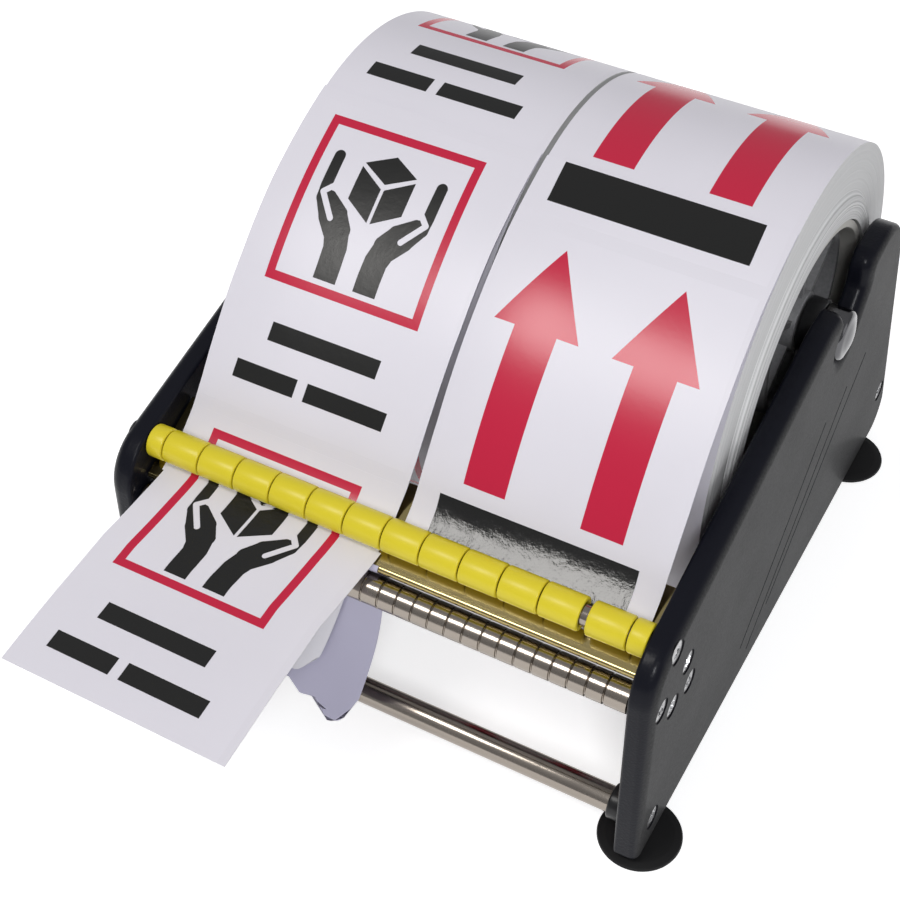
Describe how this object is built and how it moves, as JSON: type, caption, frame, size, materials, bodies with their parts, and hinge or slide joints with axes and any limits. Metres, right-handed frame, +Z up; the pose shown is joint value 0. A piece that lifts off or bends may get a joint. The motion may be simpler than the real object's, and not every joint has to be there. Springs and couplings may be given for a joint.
{
  "type": "shipping label dispenser",
  "caption": "Desktop dispenser for rolls of shipping labels: slotted side plates hold a spindle of rolls, a peel plate, a rod of loose sleeves and a grooved liner roller.",
  "frame": {"origin": "centre of the bounding box on the table, under the suction feet", "axes": "+X to the right plate, +Y to the rear, +Z up; labels come out towards -Y"},
  "size_m": [0.1512, 0.214, 0.1218],
  "materials": {
    "charcoal_enamel": "dark grey fine-textured enamel",
    "polished_steel": "polished steel",
    "chrome": "chrome plate",
    "screw_steel": "zinc-plated steel",
    "bar_aluminium": "milled aluminium",
    "yellow_plastic": "semi-gloss yellow plastic",
    "black_plastic": "black plastic",
    "hub_plastic": "dark grey moulded plastic",
    "black_rubber": "soft black rubber",
    "core_board": "grey-brown wound board",
    "label_paper": "smooth coated paper",
    "liner_paper": "glazed release liner"
  },
  "bodies": {
    "frame": {"side_plate_left": "charcoal_enamel", "side_plate_right": "charcoal_enamel", "front_tie_rod": "polished_steel", "rear_tie_rod": "polished_steel", "front_tie_collar_left": "black_plastic", "front_tie_collar_right": "black_plastic", "pressure_rod": "polished_steel", "peel_plate": "polished_steel", "peel_bar": "bar_aluminium", "liner_roller_shaft": "screw_steel", "web_left": "label_paper", "web_right": "label_paper", "peeled_label": "label_paper", "liner_left": "liner_paper", "screw_pressure_rod_left": "screw_steel", "screw_bar_upper_left": "screw_steel", "screw_bar_lower_left": "screw_steel", "screw_bar_front_left": "screw_steel", "screw_liner_shaft_left": "screw_steel", "screw_front_tie_left": "screw_steel", "screw_rear_tie_left": "screw_steel", "screw_pressure_rod_right": "screw_steel", "screw_bar_upper_right": "screw_steel", "screw_bar_lower_right": "screw_steel", "screw_bar_front_right": "screw_steel", "screw_liner_shaft_right": "screw_steel", "screw_front_tie_right": "screw_steel", "screw_rear_tie_right": "screw_steel", "foot_front_left": "black_rubber", "foot_front_right": "black_rubber", "foot_rear_left": "black_rubber", "foot_rear_right": "black_rubber"},
    "sleeve_01": {"sleeve_01": "yellow_plastic"},
    "sleeve_02": {"sleeve_02": "yellow_plastic"},
    "sleeve_03": {"sleeve_03": "yellow_plastic"},
    "sleeve_04": {"sleeve_04": "yellow_plastic"},
    "sleeve_05": {"sleeve_05": "yellow_plastic"},
    "sleeve_06": {"sleeve_06": "yellow_plastic"},
    "sleeve_07": {"sleeve_07": "yellow_plastic"},
    "sleeve_08": {"sleeve_08": "yellow_plastic"},
    "sleeve_09": {"sleeve_09": "yellow_plastic"},
    "sleeve_10": {"sleeve_10": "yellow_plastic"},
    "sleeve_11": {"sleeve_11": "yellow_plastic"},
    "sleeve_12": {"sleeve_12": "yellow_plastic"},
    "sleeve_13": {"sleeve_13": "yellow_plastic"},
    "sleeve_14": {"sleeve_14": "yellow_plastic"},
    "liner_roller": {"liner_roller": "polished_steel"},
    "spindle": {"spindle_rod": "black_plastic", "spindle_end_left": "chrome", "spindle_end_right": "chrome", "spindle_collar_left": "black_plastic", "spindle_collar_right": "black_plastic"},
    "roll_left": {"core_left": "core_board", "roll_left": "label_paper"},
    "roll_right": {"core_right": "core_board", "roll_right": "label_paper"},
    "hub_1": {"hub_1": "hub_plastic"},
    "hub_2": {"hub_2": "hub_plastic"},
    "hub_3": {"hub_3": "hub_plastic"},
    "hub_4": {"hub_4": "hub_plastic"}
  },
  "joints": [
    {"name": "sleeve_01_spin", "type": "hinge", "parent": "frame", "child": "sleeve_01", "pos_m": [0, -0.04631, 0.0655], "axis": [1, 0, 0], "continuous": true},
    {"name": "sleeve_02_spin", "type": "hinge", "parent": "frame", "child": "sleeve_02", "pos_m": [0, -0.04631, 0.0655], "axis": [1, 0, 0], "continuous": true},
    {"name": "sleeve_03_spin", "type": "hinge", "parent": "frame", "child": "sleeve_03", "pos_m": [0, -0.04631, 0.0655], "axis": [1, 0, 0], "continuous": true},
    {"name": "sleeve_04_spin", "type": "hinge", "parent": "frame", "child": "sleeve_04", "pos_m": [0, -0.04631, 0.0655], "axis": [1, 0, 0], "continuous": true},
    {"name": "sleeve_05_spin", "type": "hinge", "parent": "frame", "child": "sleeve_05", "pos_m": [0, -0.04631, 0.0655], "axis": [1, 0, 0], "continuous": true},
    {"name": "sleeve_06_spin", "type": "hinge", "parent": "frame", "child": "sleeve_06", "pos_m": [0, -0.04631, 0.0655], "axis": [1, 0, 0], "continuous": true},
    {"name": "sleeve_07_spin", "type": "hinge", "parent": "frame", "child": "sleeve_07", "pos_m": [0, -0.04631, 0.0655], "axis": [1, 0, 0], "continuous": true},
    {"name": "sleeve_08_spin", "type": "hinge", "parent": "frame", "child": "sleeve_08", "pos_m": [0, -0.04631, 0.0655], "axis": [1, 0, 0], "continuous": true},
    {"name": "sleeve_09_spin", "type": "hinge", "parent": "frame", "child": "sleeve_09", "pos_m": [0, -0.04631, 0.0655], "axis": [1, 0, 0], "continuous": true},
    {"name": "sleeve_10_spin", "type": "hinge", "parent": "frame", "child": "sleeve_10", "pos_m": [0, -0.04631, 0.0655], "axis": [1, 0, 0], "continuous": true},
    {"name": "sleeve_11_spin", "type": "hinge", "parent": "frame", "child": "sleeve_11", "pos_m": [0, -0.04631, 0.0655], "axis": [1, 0, 0], "continuous": true},
    {"name": "sleeve_12_spin", "type": "hinge", "parent": "frame", "child": "sleeve_12", "pos_m": [0, -0.04631, 0.0655], "axis": [1, 0, 0], "continuous": true},
    {"name": "sleeve_13_spin", "type": "hinge", "parent": "frame", "child": "sleeve_13", "pos_m": [0, -0.04631, 0.0655], "axis": [1, 0, 0], "continuous": true},
    {"name": "sleeve_14_spin", "type": "hinge", "parent": "frame", "child": "sleeve_14", "pos_m": [0, -0.04631, 0.0655], "axis": [1, 0, 0], "continuous": true},
    {"name": "liner_roller_spin", "type": "hinge", "parent": "frame", "child": "liner_roller", "pos_m": [0, -0.05241, 0.0529], "axis": [1, 0, 0], "continuous": true},
    {"name": "spindle_lift", "type": "slide", "parent": "frame", "child": "spindle", "axis": [0, 0.6488, 0.761], "range_m": [0, 0.0095], "deforming": ["web_left", "web_right"]},
    {"name": "roll_left_spin", "type": "hinge", "parent": "spindle", "child": "roll_left", "pos_m": [0, 0.04521, 0.06324], "axis": [1, 0, 0], "continuous": true},
    {"name": "roll_right_spin", "type": "hinge", "parent": "spindle", "child": "roll_right", "pos_m": [0, 0.04521, 0.06324], "axis": [1, 0, 0], "continuous": true},
    {"name": "hub_1_spin", "type": "hinge", "parent": "spindle", "child": "hub_1", "pos_m": [0, 0.05099, 0.0761], "axis": [1, 0, 0], "continuous": true},
    {"name": "hub_2_spin", "type": "hinge", "parent": "spindle", "child": "hub_2", "pos_m": [0, 0.05099, 0.0761], "axis": [1, 0, 0], "continuous": true},
    {"name": "hub_3_spin", "type": "hinge", "parent": "spindle", "child": "hub_3", "pos_m": [0, 0.05099, 0.0761], "axis": [1, 0, 0], "continuous": true},
    {"name": "hub_4_spin", "type": "hinge", "parent": "spindle", "child": "hub_4", "pos_m": [0, 0.05099, 0.0761], "axis": [1, 0, 0], "continuous": true}
  ],
  "couplings": [
    {"joint": "hub_1_spin", "follows": "roll_left_spin", "ratio": 1.6076},
    {"joint": "hub_2_spin", "follows": "roll_left_spin", "ratio": 1.6076},
    {"joint": "hub_3_spin", "follows": "roll_right_spin", "ratio": 1.6076},
    {"joint": "hub_4_spin", "follows": "roll_right_spin", "ratio": 1.6076}
  ]
}
